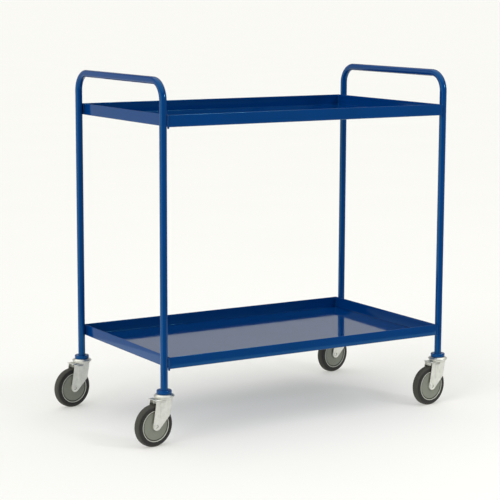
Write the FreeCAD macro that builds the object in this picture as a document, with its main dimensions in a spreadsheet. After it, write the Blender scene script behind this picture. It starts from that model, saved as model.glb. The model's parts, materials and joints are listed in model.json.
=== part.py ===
import FreeCAD, Part
import math
import os
import Sketcher

# A two-tier tray trolley: two bent-tube end frames, two folded sheet-steel trays between them and four swivel
# castors. +X runs along the trays, -Y is the long side a person stands at to load it, +Z is up. The origin is on
# the floor, midway between the four legs. Lengths are in millimetres and angles in degrees.

SIZES = (
    ("leg_spacing_long", 1000, "between the two end frames, tube axis to tube axis"),
    ("leg_spacing_wide", 553, "between the two legs of one end frame, axis to axis"),
    ("overall_height", 1071, "floor to the top of the push handles"),
    ("tube_diameter", 22, "outside of the frame tube"),
    ("tube_wall", 1.5, "wall of the frame tube"),
    ("handle_bend", 56, "bend radius of the tube's axis at the handle's corners"),
    ("boss_diameter", 45, "foot boss"),
    ("boss_height", 11.5, "foot boss"),
    ("boss_socket", 6, "depth that a leg sits into its boss"),
    ("boss_round", 2.5, "rounding of the boss's rims"),
    ("ring_weld", 2, "leg of the fillet weld round a tube at its boss"),
    ("tray_gap", 3, "between a tray's end and the legs, bridged by the welds"),
    ("tray_sheet", 1.5, "sheet of the trays"),
    ("tray_lip", 35, "height of the trays' upstands"),
    ("tray_corner", 4, "outside radius of the trays' upright corners"),
    ("tray_bend", 3.5, "outside radius between a tray's floor and its upstands"),
    ("hem_height", 9, "depth of the doubled edge on the upstands"),
    ("upper_tray_drop", 142, "top of the handles down to the underside of the upper tray"),
    ("lower_tray_rise", 72.5, "top face of the castors up to the underside of the lower tray"),
    ("bead_radius", 4.8, "weld bead at a tray corner"),
    ("bead_inboard", 0.2, "bead centre, short of the tube's side along the tray"),
    ("bead_outboard", 1.4, "bead centre, short of the tube's side across the tray"),
    ("bead_round", 2, "rounding of a bead's ends"),
    ("bead_inset", 1, "a bead's end inside the tray's top and bottom edges"),
    ("disc_diameter", 61, "castor top disc"),
    ("disc_sheet", 2.5, "sheet of the top disc"),
    ("disc_round", 2, "outside rounding of the top disc"),
    ("swivel_gap", 0.5, "between the disc's rim and the fork's crown"),
    ("crown_diameter", 58, "round crown of the fork"),
    ("crown_height", 8, "crown above the fork's top plate"),
    ("crown_round", 2, "rounding of the crown's upper rim"),
    ("pocket_room", 1, "radial room round the kingpin's flange under the crown"),
    ("crown_roof", 2.5, "metal left over that bore"),
    ("fork_sheet", 2.3, "sheet of the fork"),
    ("fork_side_play", 1.25, "between each cheek and the hub's end"),
    ("wheel_headroom", 10.2, "between the wheel and the fork's top plate"),
    ("fork_bend", 4.5, "outside radius where the top plate turns down into the cheeks"),
    ("fork_back", 43, "top plate behind the kingpin"),
    ("fork_front", 17, "cheeks ahead of the kingpin at the top"),
    ("fork_knee_front", 8, "front corner of the cheeks, ahead of the kingpin"),
    ("fork_knee_above", 27, "front corner of the cheeks, above the axle"),
    ("fork_end", 14, "radius of the cheeks round the axle"),
    ("rib_height", 1.5, "pressed rib on each cheek"),
    ("rib_near", 5, "rib's front edge behind the kingpin"),
    ("rib_far", 28, "rib's back edge behind the kingpin"),
    ("rib_foot", 22, "rib's lower end above the axle"),
    ("rib_foot_width", 9, "rib's width at its lower end"),
    ("kingpin_diameter", 18, "kingpin sleeve"),
    ("kingpin_play", 0.05, "radial running play of the fork on the kingpin"),
    ("kingpin_lip", 4, "flange that holds the fork up, beyond the sleeve"),
    ("kingpin_flange_sheet", 2.3, "that flange's thickness"),
    ("flange_play", 0.3, "between that flange and the crown's roof"),
    ("bolt_diameter", 12, "castor bolt"),
    ("bolt_length", 20, "castor bolt under its head"),
    ("bolt_head", 7.5, "height of the bolt's head"),
    ("bolt_flats", 19, "across the flats of the bolt's head"),
    ("bolt_play", 0.1, "radial room round the bolt"),
    ("ball_diameter", 4, "balls between disc and crown"),
    ("ball_circle", 44, "pitch circle of the balls"),
    ("wheel_diameter", 125, "over the tyre"),
    ("wheel_trail", 39.5, "kingpin to axle, along the floor"),
    ("tyre_width", 27, "widest part of the tyre"),
    ("tread_round", 9.5, "rounding of the tread's shoulders"),
    ("tyre_depth", 17, "rubber over the hub's rim"),
    ("rim_inset", 1.8, "side of the hub's rim, in from the tyre's side"),
    ("rim_lip", 2.2, "lip of the rim over the tyre's side"),
    ("rim_lip_width", 1.4, "thickness of that lip"),
    ("rim_wall", 4, "hub's rim, seat to inside"),
    ("web_width", 9, "hub's web"),
    ("dish_diameter", 30, "foot of the raised middle of the hub"),
    ("hub_stand", 0.5, "end of the hub's middle, out from the tyre's side"),
    ("hub_diameter", 25, "end of the hub's middle"),
    ("bush_wall", 1.5, "outside of the steel bush in the hub, over the axle"),
    ("bush_play", 0.05, "radial running play of the bush on the axle"),
    ("bush_gap", 0.3, "between the bush's ends and the cheeks"),
    ("axle_diameter", 12, "tubular axle"),
    ("axle_wall", 2, "wall of the tubular axle"),
    ("axle_flare", 2, "flared head of the axle, beyond the axle"),
    ("axle_head_height", 1.4, "flared head of the axle outside a cheek"),
    ("swing_front_left", 188, "direction in which this castor trails, from +X"),
    ("swing_back_left", 189, "direction in which this castor trails, from +X"),
    ("swing_front_right", 187.5, "direction in which this castor trails, from +X"),
    ("swing_back_right", 189.5, "direction in which this castor trails, from +X"),
)

# name, side along X, side along Y
CORNERS = (
    ("front_left", -1, -1),
    ("back_left", -1, 1),
    ("front_right", 1, -1),
    ("back_right", 1, 1),
)
BALL_COUNT = 16

doc = FreeCAD.newDocument("tray_trolley")
sizes = doc.addObject("Spreadsheet::Sheet", "sizes")
for row, (alias, number, note) in enumerate(SIZES, start=1):
    sizes.set(f"A{row}", note)
    sizes.set(f"B{row}", str(number))
    sizes.setAlias(f"B{row}", alias)
doc.recompute()

nodes = []


def value(expression):
    """The number that an expression on the sheet gives now."""
    result = doc.sizes.evalExpression(expression)
    return float(getattr(result, "Value", result))


def new_body(label):
    """An empty body that becomes the node of that name."""
    body = doc.addObject("PartDesign::Body", label)
    body.Label = label
    nodes.append(body)
    return body


def new_sketch(body, role, lift=None):
    """A sketch on one of the body's own planes, lifted along the plane's normal."""
    sketch = body.newObject("Sketcher::SketchObject", "Sketch")
    plane = next(f for f in body.Origin.OriginFeatures if f.Role == role)
    sketch.AttachmentSupport = [(plane, "")]
    sketch.MapMode = "FlatFace"
    if lift:
        sketch.setExpression("AttachmentOffset.Base.z", lift)
    return sketch


def bind(sketch, kind, name, expression, *where):
    """A driven size of a sketch: its constraint is named and reads the sheet."""
    index = sketch.addConstraint(Sketcher.Constraint(kind, *where, value(expression)))
    sketch.renameConstraint(index, name)
    sketch.setExpression(f"Constraints.{name}", expression)


def place_point(sketch, name, geometry, point, across, up):
    """Fix a point by its distances from the sketch's origin; "0" puts it on an axis."""
    if across == "0":
        sketch.addConstraint(Sketcher.Constraint("PointOnObject", geometry, point, -2))
    else:
        bind(sketch, "DistanceX", name + "_across", across, -1, 1, geometry, point)
    if up == "0":
        sketch.addConstraint(Sketcher.Constraint("PointOnObject", geometry, point, -1))
    else:
        bind(sketch, "DistanceY", name + "_up", up, -1, 1, geometry, point)


def draw_circle(sketch, name, radius, across="0", up="0"):
    """A circle with its centre and radius bound to the sheet."""
    centre = FreeCAD.Vector(value(across), value(up), 0)
    shape = Part.Circle(centre, FreeCAD.Vector(0, 0, 1), value(radius))
    index = sketch.addGeometry(shape, False)
    bind(sketch, "Radius", name + "_radius", radius, index)
    place_point(sketch, name, index, 3, across, up)


def draw_polygon(sketch, corners):
    """A closed outline through (name, across, up) corners, each bound to the sheet."""
    points = [FreeCAD.Vector(value(across), value(up), 0) for _, across, up in corners]
    first = sketch.GeometryCount
    count = len(points)
    for index, point in enumerate(points):
        sketch.addGeometry(Part.LineSegment(point, points[(index + 1) % count]), False)
    for index, (name, across, up) in enumerate(corners):
        before = first + (index - 1) % count
        sketch.addConstraint(Sketcher.Constraint("Coincident", before, 2, first + index, 1))
        place_point(sketch, name, first + index, 1, across, up)


def draw_rounded_rectangle(sketch, length, width, radius):
    """A rectangle about the sketch's origin with four equal rounded corners."""
    half_long = value(length) / 2
    half_wide = value(width) / 2
    round_off = value(radius)
    turn = math.pi / 2
    corners = ((1, -1, -turn), (1, 1, 0), (-1, 1, turn), (-1, -1, 2 * turn))
    ends = []
    for along, over, start in corners:
        centre = FreeCAD.Vector(along * (half_long - round_off), over * (half_wide - round_off), 0)
        circle = Part.Circle(centre, FreeCAD.Vector(0, 0, 1), round_off)
        sketch.addGeometry(Part.ArcOfCircle(circle, start, start + turn), False)
        reach = FreeCAD.Vector(math.cos(start), math.sin(start), 0) * round_off
        swung = FreeCAD.Vector(-math.sin(start), math.cos(start), 0) * round_off
        ends.append((centre + reach, centre + swung))
    for index in range(4):
        sketch.addGeometry(Part.LineSegment(ends[index][1], ends[(index + 1) % 4][0]), False)
    for index in range(4):
        line = 4 + index
        sketch.addConstraint(Sketcher.Constraint("Tangent", index, 2, line, 1))
        sketch.addConstraint(Sketcher.Constraint("Tangent", line, 2, (index + 1) % 4, 1))
        direction = "Vertical" if index % 2 == 0 else "Horizontal"
        sketch.addConstraint(Sketcher.Constraint(direction, line))
    for index in (1, 2, 3):
        sketch.addConstraint(Sketcher.Constraint("Equal", 0, index))
    sketch.addConstraint(Sketcher.Constraint("Symmetric", 4, 1, 6, 1, -1, 1))
    bind(sketch, "Radius", "corner", radius, 0)
    bind(sketch, "DistanceX", "length", length, 6, 1, 4, 1)
    bind(sketch, "DistanceY", "width", width, 7, 1, 5, 1)


def pad(body, sketch, length, midplane=False, reverse=False):
    """Raise a sketch into metal."""
    feature = body.newObject("PartDesign::Pad", "Pad")
    feature.Profile = sketch
    feature.setExpression("Length", length)
    feature.Midplane = midplane
    feature.Reversed = reverse
    doc.recompute()
    return feature


def pocket(body, sketch, length=None, midplane=False, reverse=False):
    """Cut a sketch away, to a depth or right through, and check that it did cut."""
    before = body.Shape.Volume
    feature = body.newObject("PartDesign::Pocket", "Pocket")
    feature.Profile = sketch
    if length:
        feature.setExpression("Length", length)
    else:
        feature.Type = 1
    feature.Midplane = midplane
    feature.Reversed = reverse
    doc.recompute()
    if not body.Shape.Volume < before - 1:
        raise RuntimeError(f"{body.Label}: a pocket cuts nothing")
    return feature


def revolve(body, sketch, role):
    """Turn a sketch once round one of the body's own axes."""
    feature = body.newObject("PartDesign::Revolution", "Revolution")
    feature.Profile = sketch
    axis = next(f for f in body.Origin.OriginFeatures if f.Role == role)
    feature.ReferenceAxis = (axis, [""])
    feature.Angle = 360
    doc.recompute()
    return feature


def soften(body, radius, wanted, kind="PartDesign::Fillet"):
    """Round (or chamfer) the edges of the body's last feature for which wanted(edge) holds."""
    base = body.Tip
    names = [f"Edge{i}" for i, edge in enumerate(base.Shape.Edges, start=1) if wanted(edge)]
    if not names:
        raise RuntimeError(f"{body.Label}: no edge to round")
    feature = body.newObject(kind, "Soften")
    feature.Base = (base, names)
    feature.setExpression("Radius" if kind.endswith("Fillet") else "Size", radius)
    doc.recompute()
    return feature


def is_ring_at(edge, radius, level, axis="z"):
    """Whether an edge is a whole circle of that radius whose centre is at that place on the axis."""
    curve = edge.Curve
    if not isinstance(curve, Part.Circle) or not edge.isClosed():
        return False
    along = getattr(curve.Center, axis)
    return abs(curve.Radius - radius) < 0.01 and abs(along - level) < 0.01


def is_straight_along(edge, axis):
    """Whether an edge is a straight line along X, Y or Z."""
    if not isinstance(edge.Curve, (Part.Line, Part.LineSegment)):
        return False
    return abs(abs(getattr(edge.Curve.Direction, axis)) - 1) < 1e-6


# ---- the end frames ----

# Sizes that follow from the sheet's, so that pieces that meet still meet when one of them changes.
TUBE_RADIUS = "sizes.tube_diameter / 2"
DISC_RIM = "(sizes.ball_diameter + sizes.disc_sheet - sizes.swivel_gap)"
PLATE_UNDER = "(sizes.wheel_diameter + sizes.wheel_headroom)"
PLATE_TOP = f"({PLATE_UNDER} + sizes.fork_sheet)"
CROWN_TOP = f"({PLATE_TOP} + sizes.crown_height)"
CASTOR_HEIGHT = f"({CROWN_TOP} + sizes.swivel_gap + {DISC_RIM})"
UPPER_TRAY_LEVEL = "(sizes.overall_height - sizes.upper_tray_drop)"
LOWER_TRAY_LEVEL = f"({CASTOR_HEIGHT} + sizes.lower_tray_rise)"
HUB_HALF = "(sizes.tyre_width / 2 + sizes.hub_stand)"
CHEEK_IN = f"({HUB_HALF} + sizes.fork_side_play)"
CHEEK_OUT = f"({CHEEK_IN} + sizes.fork_sheet)"
RIM_SEAT = "(sizes.wheel_diameter / 2 - sizes.tyre_depth)"
RIM_HALF = "(sizes.tyre_width / 2 - sizes.rim_inset)"
FLANGE_RADIUS = "(sizes.kingpin_diameter / 2 + sizes.kingpin_lip)"
BUSH_RADIUS = "(sizes.axle_diameter / 2 + sizes.bush_wall)"
HALF_LONG = "sizes.leg_spacing_long / 2"
HALF_WIDE = "sizes.leg_spacing_wide / 2"
LEG_FOOT = f"({CASTOR_HEIGHT} + sizes.boss_height - sizes.boss_socket)"
HANDLE_AXIS = "(sizes.overall_height - sizes.tube_diameter / 2)"


def end_frame(label, side):
    """One bent tube: up a leg, over the handle and down the other leg."""
    body = new_body(label)
    half = value(HALF_WIDE)
    foot = value(LEG_FOOT)
    top = value(HANDLE_AXIS)
    bend = value("sizes.handle_bend")
    quarter = math.pi / 2
    path = new_sketch(body, "YZ_Plane")
    spots = [
        FreeCAD.Vector(-half, foot, 0),
        FreeCAD.Vector(-half, top - bend, 0),
        FreeCAD.Vector(-half + bend, top, 0),
        FreeCAD.Vector(half - bend, top, 0),
        FreeCAD.Vector(half, top - bend, 0),
        FreeCAD.Vector(half, foot, 0),
    ]
    normal = FreeCAD.Vector(0, 0, 1)
    near = Part.Circle(FreeCAD.Vector(-half + bend, top - bend, 0), normal, bend)
    far = Part.Circle(FreeCAD.Vector(half - bend, top - bend, 0), normal, bend)
    path.addGeometry(Part.LineSegment(spots[0], spots[1]), False)
    path.addGeometry(Part.ArcOfCircle(near, quarter, 2 * quarter), False)
    path.addGeometry(Part.LineSegment(spots[2], spots[3]), False)
    path.addGeometry(Part.ArcOfCircle(far, 0, quarter), False)
    path.addGeometry(Part.LineSegment(spots[4], spots[5]), False)
    for joint in ((0, 2, 1, 2), (1, 1, 2, 1), (2, 2, 3, 2), (3, 1, 4, 1)):
        path.addConstraint(Sketcher.Constraint("Tangent", *joint))
    path.addConstraint(Sketcher.Constraint("Vertical", 0))
    path.addConstraint(Sketcher.Constraint("Horizontal", 2))
    path.addConstraint(Sketcher.Constraint("Equal", 1, 3))
    path.addConstraint(Sketcher.Constraint("Symmetric", 0, 1, 4, 2, -2))
    bind(path, "Radius", "bend", "sizes.handle_bend", 1)
    bind(path, "DistanceX", "spread", "sizes.leg_spacing_wide", 0, 1, 4, 2)
    bind(path, "DistanceY", "foot", LEG_FOOT, -1, 1, 0, 1)
    bind(path, "DistanceY", "top", HANDLE_AXIS, -1, 1, 2, 1)
    ring = new_sketch(body, "XY_Plane", LEG_FOOT)
    ring.setExpression("AttachmentOffset.Base.y", "-" + HALF_WIDE)
    draw_circle(ring, "outside", TUBE_RADIUS)
    draw_circle(ring, "inside", "sizes.tube_diameter / 2 - sizes.tube_wall")
    tube = body.newObject("PartDesign::AdditivePipe", "Tube")
    tube.Profile = ring
    tube.Spine = (path, [f"Edge{i}" for i in range(1, 6)])
    body.setExpression("Placement.Base.x", f"{side} * {HALF_LONG}")
    doc.recompute()
    return body


left_frame = end_frame("left_end_frame", -1)
right_frame = end_frame("right_end_frame", 1)

# ---- the trays ----

TRAY_LONG = "(sizes.leg_spacing_long - sizes.tube_diameter - 2 * sizes.tray_gap)"
TRAY_WIDE = "(sizes.leg_spacing_wide + sizes.tube_diameter)"


def tray(label, level):
    """A folded pan: a floor, four upstands and a hem that doubles the upstands' edge."""
    body = new_body(label)
    block = new_sketch(body, "XY_Plane")
    draw_rounded_rectangle(block, TRAY_LONG, TRAY_WIDE, "sizes.tray_corner")
    pad(body, block, "sizes.tray_lip")
    soften(body, "sizes.tray_bend", lambda edge: edge.BoundBox.ZMax < 0.01)
    hem = "2 * sizes.tray_sheet"
    mouth = new_sketch(body, "XY_Plane", "sizes.tray_sheet")
    draw_rounded_rectangle(mouth, f"{TRAY_LONG} - 2 * {hem}", f"{TRAY_WIDE} - 2 * {hem}",
                           f"sizes.tray_corner - {hem}")
    pocket(body, mouth, "sizes.tray_lip", reverse=True)
    inside = new_sketch(body, "XY_Plane", "sizes.tray_sheet")
    draw_rounded_rectangle(inside, f"{TRAY_LONG} - {hem}", f"{TRAY_WIDE} - {hem}",
                           "sizes.tray_corner - sizes.tray_sheet")
    pocket(body, inside, "sizes.tray_lip - sizes.tray_sheet - sizes.hem_height", reverse=True)
    floor = value("sizes.tray_sheet")
    half_long = value(TRAY_LONG) / 2 - 2 * floor
    half_wide = value(TRAY_WIDE) / 2 - 2 * floor

    def on_floor_by_the_wall(edge):
        box = edge.BoundBox
        flat = abs(box.ZMin - floor) < 0.01 and abs(box.ZMax - floor) < 0.01
        reach = max(abs(box.XMin), abs(box.XMax)) > half_long or max(abs(box.YMin), abs(box.YMax)) > half_wide
        return flat and reach

    soften(body, "sizes.tray_bend - sizes.tray_sheet", on_floor_by_the_wall)
    top = value("sizes.tray_lip")
    soften(body, "sizes.tray_sheet * 0.9", lambda edge: edge.BoundBox.ZMin > top - 0.01)
    body.setExpression("Placement.Base.z", level)
    doc.recompute()
    return body


upper_tray = tray("upper_tray", UPPER_TRAY_LEVEL)
lower_tray = tray("lower_tray", LOWER_TRAY_LEVEL)

# ---- the corner welds ----


def corner_welds(label, pan, level):
    """Four upright weld beads that bridge a tray's corners and the legs."""
    blanks = []
    legs = []
    for name, along, over in CORNERS:
        leg = doc.addObject("Part::Cylinder", "LegSpace")
        leg.setExpression("Radius", TUBE_RADIUS)
        leg.setExpression("Height", "sizes.tray_lip")
        leg.setExpression("Placement.Base.x", f"{along} * {HALF_LONG}")
        leg.setExpression("Placement.Base.y", f"{over} * {HALF_WIDE}")
        leg.setExpression("Placement.Base.z", level)
        legs.append(leg)
        rod = doc.addObject("Part::Cylinder", "Bead")
        rod.setExpression("Radius", "sizes.bead_radius")
        rod.setExpression("Height", "sizes.tray_lip - 2 * sizes.bead_inset")
        rod.setExpression("Placement.Base.x", f"{along} * ({HALF_LONG} - {TUBE_RADIUS} + sizes.bead_inboard)")
        rod.setExpression("Placement.Base.y", f"{over} * ({HALF_WIDE} + {TUBE_RADIUS} - sizes.bead_outboard)")
        rod.setExpression("Placement.Base.z", f"{level} + sizes.bead_inset")
        doc.recompute()
        ends = [i for i, edge in enumerate(rod.Shape.Edges, start=1) if isinstance(edge.Curve, Part.Circle)]
        bead = doc.addObject("Part::Fillet", "RoundedBead")
        bead.Base = rod
        bead.Edges = [(i, value("sizes.bead_round"), value("sizes.bead_round")) for i in ends]
        blanks.append(bead)
    four = doc.addObject("Part::Compound", "Beads")
    four.Links = blanks
    spaces = doc.addObject("Part::Compound", "LegSpaces")
    spaces.Links = legs
    for tool in (spaces, pan):
        cut = doc.addObject("Part::Cut", "BeadsCut")
        cut.Base = four
        cut.Tool = tool
        four = cut
    four.Label = label
    nodes.append(four)
    doc.recompute()
    return four


corner_welds("upper_tray_welds", upper_tray, UPPER_TRAY_LEVEL)
corner_welds("lower_tray_welds", lower_tray, LOWER_TRAY_LEVEL)

# ---- the feet ----


def at_leg(thing, along, over):
    """Put a piece on a leg's axis."""
    thing.setExpression("Placement.Base.x", f"{along} * {HALF_LONG}")
    thing.setExpression("Placement.Base.y", f"{over} * {HALF_WIDE}")


def foot_boss(name, along, over):
    """A turned disc with a socket for the leg above and the bolt's tapped hole below."""
    body = new_body(f"foot_boss_{name}")
    base = new_sketch(body, "XY_Plane")
    draw_circle(base, "rim", "sizes.boss_diameter / 2")
    pad(body, base, "sizes.boss_height")
    radius = value("sizes.boss_diameter / 2")
    height = value("sizes.boss_height")
    soften(body, "sizes.boss_round", lambda e: is_ring_at(e, radius, 0) or is_ring_at(e, radius, height))
    socket = new_sketch(body, "XY_Plane", "sizes.boss_height - sizes.boss_socket")
    draw_circle(socket, "socket", TUBE_RADIUS)
    pocket(body, socket, "sizes.boss_socket", reverse=True)
    tapped = new_sketch(body, "XY_Plane")
    draw_circle(tapped, "tapped", "sizes.bolt_diameter / 2 + sizes.bolt_play / 2")
    pocket(body, tapped, midplane=True)
    at_leg(body, along, over)
    body.setExpression("Placement.Base.z", CASTOR_HEIGHT)
    return body


for corner in CORNERS:
    foot_boss(*corner)


def ring_welds():
    """Fillet welds round the legs where they enter the bosses: one turned ring at each leg."""
    rings = []
    for name, along, over in CORNERS:
        outer = doc.addObject("Part::Cone", "RingWeld")
        outer.setExpression("Radius1", f"{TUBE_RADIUS} + sizes.ring_weld")
        outer.setExpression("Radius2", f"{TUBE_RADIUS} + sizes.ring_weld / 8")
        outer.setExpression("Height", "sizes.ring_weld")
        inner = doc.addObject("Part::Cylinder", "RingBore")
        inner.setExpression("Radius", TUBE_RADIUS)
        inner.setExpression("Height", "sizes.ring_weld")
        for piece in (outer, inner):
            at_leg(piece, along, over)
            piece.setExpression("Placement.Base.z", f"{CASTOR_HEIGHT} + sizes.boss_height")
        ring = doc.addObject("Part::Cut", "Ring")
        ring.Base = outer
        ring.Tool = inner
        rings.append(ring)
    four = doc.addObject("Part::Compound", "RingWelds")
    four.Links = rings
    four.Label = "foot_ring_welds"
    nodes.append(four)
    doc.recompute()


ring_welds()

# ---- the castors ----

ROOF = f"({CROWN_TOP} - sizes.crown_roof)"
FLANGE_TOP = f"({ROOF} - sizes.flange_play)"
FLANGE_FOOT = f"({FLANGE_TOP} - sizes.kingpin_flange_sheet)"
DISC_UNDER = f"({CASTOR_HEIGHT} - sizes.disc_sheet)"
AXLE_UP = "sizes.wheel_diameter / 2"


def turned(label, corners, plane="XZ_Plane", axis="Z_Axis"):
    """A turned piece: a closed outline spun round an axis."""
    body = new_body(label)
    outline = new_sketch(body, plane)
    draw_polygon(outline, corners)
    revolve(body, outline, axis)
    return body


def turn_to_trail(thing, name):
    """Swing a castor's piece about the vertical so that its wheel trails where it should."""
    thing.Placement = FreeCAD.Placement(FreeCAD.Vector(), FreeCAD.Rotation(FreeCAD.Vector(0, 0, 1), 90))
    thing.setExpression("Placement.Rotation.Angle", f"sizes.swing_{name}")


def top_disc(name, along, over):
    """The fixed upper race: a pressed disc with its rim turned down over the balls."""
    rim = "sizes.disc_diameter / 2"
    top = CASTOR_HEIGHT
    low = f"{CASTOR_HEIGHT} - {DISC_RIM}"
    hole = "sizes.bolt_diameter / 2 + sizes.bolt_play"
    body = turned(f"top_disc_{name}", (
        ("hole_low", hole, DISC_UNDER),
        ("hole_top", hole, top),
        ("rim_top", rim, top),
        ("rim_low", rim, low),
        ("lip_low", f"{rim} - sizes.disc_sheet", low),
        ("lip_top", f"{rim} - sizes.disc_sheet", DISC_UNDER),
    ))
    radius = value(rim)
    level = value(top)
    soften(body, "sizes.disc_round", lambda e: is_ring_at(e, radius, level))
    at_leg(body, along, over)


def kingpin(name, along, over):
    """The sleeve that the fork turns on, with the flange that carries it."""
    bore = "sizes.bolt_diameter / 2 + sizes.bolt_play"
    pin = "sizes.kingpin_diameter / 2"
    flange = FLANGE_RADIUS
    body = turned(f"kingpin_{name}", (
        ("bore_low", bore, FLANGE_FOOT),
        ("flange_low", flange, FLANGE_FOOT),
        ("flange_top", flange, FLANGE_TOP),
        ("pin_low", pin, FLANGE_TOP),
        ("pin_top", pin, DISC_UNDER),
        ("bore_top", bore, DISC_UNDER),
    ))
    at_leg(body, along, over)


def castor_bolt(name, along, over):
    """The hexagon bolt from under the fork's crown up into the boss."""
    body = new_body(f"castor_bolt_{name}")
    shank = new_sketch(body, "XY_Plane", FLANGE_FOOT)
    draw_circle(shank, "shank", "sizes.bolt_diameter / 2")
    pad(body, shank, "sizes.bolt_length")
    radius = value("sizes.bolt_diameter / 2")
    level = value(f"{FLANGE_FOOT} + sizes.bolt_length")
    soften(body, "sizes.bolt_diameter / 12", lambda e: is_ring_at(e, radius, level), "PartDesign::Chamfer")
    head = new_sketch(body, "XY_Plane", FLANGE_FOOT)
    reach = "sizes.bolt_flats / 2"
    slant = "sizes.bolt_flats / 2 * 0.57735026919"
    tip = "sizes.bolt_flats / 2 * 1.15470053838"
    draw_polygon(head, (
        ("right_low", reach, f"-{slant}"),
        ("right_high", reach, slant),
        ("high", "0", tip),
        ("left_high", f"-{reach}", slant),
        ("left_low", f"-{reach}", f"-{slant}"),
        ("low", "0", f"-{tip}"),
    ))
    pad(body, head, "sizes.bolt_head", reverse=True)
    at_leg(body, along, over)


def ball_ring(name, along, over):
    """The balls between the top disc and the fork's crown."""
    body = new_body(f"swivel_balls_{name}")
    body.AllowCompound = True
    ball = new_sketch(body, "XZ_Plane")
    radius = "sizes.ball_diameter / 2"
    across = "sizes.ball_circle / 2"
    up = f"{CROWN_TOP} + sizes.ball_diameter / 2"
    centre = FreeCAD.Vector(value(across), value(up), 0)
    quarter = math.pi / 2
    circle = Part.Circle(centre, FreeCAD.Vector(0, 0, 1), value(radius))
    ball.addGeometry(Part.ArcOfCircle(circle, -quarter, quarter), False)
    start = centre - FreeCAD.Vector(0, value(radius), 0)
    end = centre + FreeCAD.Vector(0, value(radius), 0)
    ball.addGeometry(Part.LineSegment(end, start), False)
    ball.addConstraint(Sketcher.Constraint("Coincident", 0, 2, 1, 1))
    ball.addConstraint(Sketcher.Constraint("Coincident", 1, 2, 0, 1))
    ball.addConstraint(Sketcher.Constraint("PointOnObject", 0, 3, 1))
    ball.addConstraint(Sketcher.Constraint("Vertical", 1))
    bind(ball, "Radius", "ball", radius, 0)
    place_point(ball, "centre", 0, 3, across, up)
    first = body.newObject("PartDesign::Revolution", "Ball")
    first.Profile = ball
    first.ReferenceAxis = (ball, ["Edge2"])
    first.Angle = 360
    doc.recompute()
    ring = body.newObject("PartDesign::PolarPattern", "BallRing")
    ring.Originals = [first]
    axis = next(f for f in body.Origin.OriginFeatures if f.Role == "Z_Axis")
    ring.Axis = (axis, [""])
    ring.Angle = 360
    ring.Occurrences = BALL_COUNT
    body.Tip = ring
    doc.recompute()
    turn_to_trail(body, name)
    at_leg(body, along, over)


def cheek_outline(sketch):
    """The fork from the side: the wheel trails along +X, and the lower end is round about the axle."""
    back = "sizes.fork_back"
    front = "-sizes.fork_front"
    knee = "-sizes.fork_knee_front"
    knee_up = f"{AXLE_UP} + sizes.fork_knee_above"
    top = FreeCAD.Vector(value(back), value(PLATE_TOP), 0)
    tip = FreeCAD.Vector(value(front), value(PLATE_TOP), 0)
    bend = FreeCAD.Vector(value(knee), value(knee_up), 0)
    eye = FreeCAD.Vector(value("sizes.wheel_trail"), value(AXLE_UP), 0)
    radius = value("sizes.fork_end")

    def touch(point, side):
        away = point - eye
        turn = math.atan2(away.y, away.x) + side * math.acos(radius / away.Length)
        return turn, eye + FreeCAD.Vector(math.cos(turn), math.sin(turn), 0) * radius

    back_turn, back_touch = touch(top, -1)
    knee_turn, knee_touch = touch(bend, 1)
    circle = Part.Circle(eye, FreeCAD.Vector(0, 0, 1), radius)
    sketch.addGeometry(Part.LineSegment(tip, bend), False)
    sketch.addGeometry(Part.LineSegment(bend, knee_touch), False)
    sketch.addGeometry(Part.ArcOfCircle(circle, knee_turn, back_turn + 2 * math.pi), False)
    sketch.addGeometry(Part.LineSegment(back_touch, top), False)
    sketch.addGeometry(Part.LineSegment(top, tip), False)
    sketch.addConstraint(Sketcher.Constraint("Coincident", 0, 2, 1, 1))
    sketch.addConstraint(Sketcher.Constraint("Tangent", 1, 2, 2, 1))
    sketch.addConstraint(Sketcher.Constraint("Tangent", 2, 2, 3, 1))
    sketch.addConstraint(Sketcher.Constraint("Coincident", 3, 2, 4, 1))
    sketch.addConstraint(Sketcher.Constraint("Coincident", 4, 2, 0, 1))
    place_point(sketch, "tip", 0, 1, front, PLATE_TOP)
    place_point(sketch, "knee", 1, 1, knee, knee_up)
    place_point(sketch, "top", 4, 1, back, PLATE_TOP)
    place_point(sketch, "eye", 2, 3, "sizes.wheel_trail", AXLE_UP)
    bind(sketch, "Radius", "end", "sizes.fork_end", 2)


def rib_outline(sketch):
    """The pressed rib of a cheek: wide under the top plate, narrow towards the axle."""
    high = f"{PLATE_TOP} - sizes.fork_bend"
    low = f"{AXLE_UP} + sizes.rib_foot"
    draw_polygon(sketch, (
        ("near_high", "sizes.rib_near", high),
        ("near_low", "sizes.rib_far - sizes.rib_foot_width", low),
        ("far_low", "sizes.rib_far", low),
        ("far_high", "sizes.rib_far", high),
    ))


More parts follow.
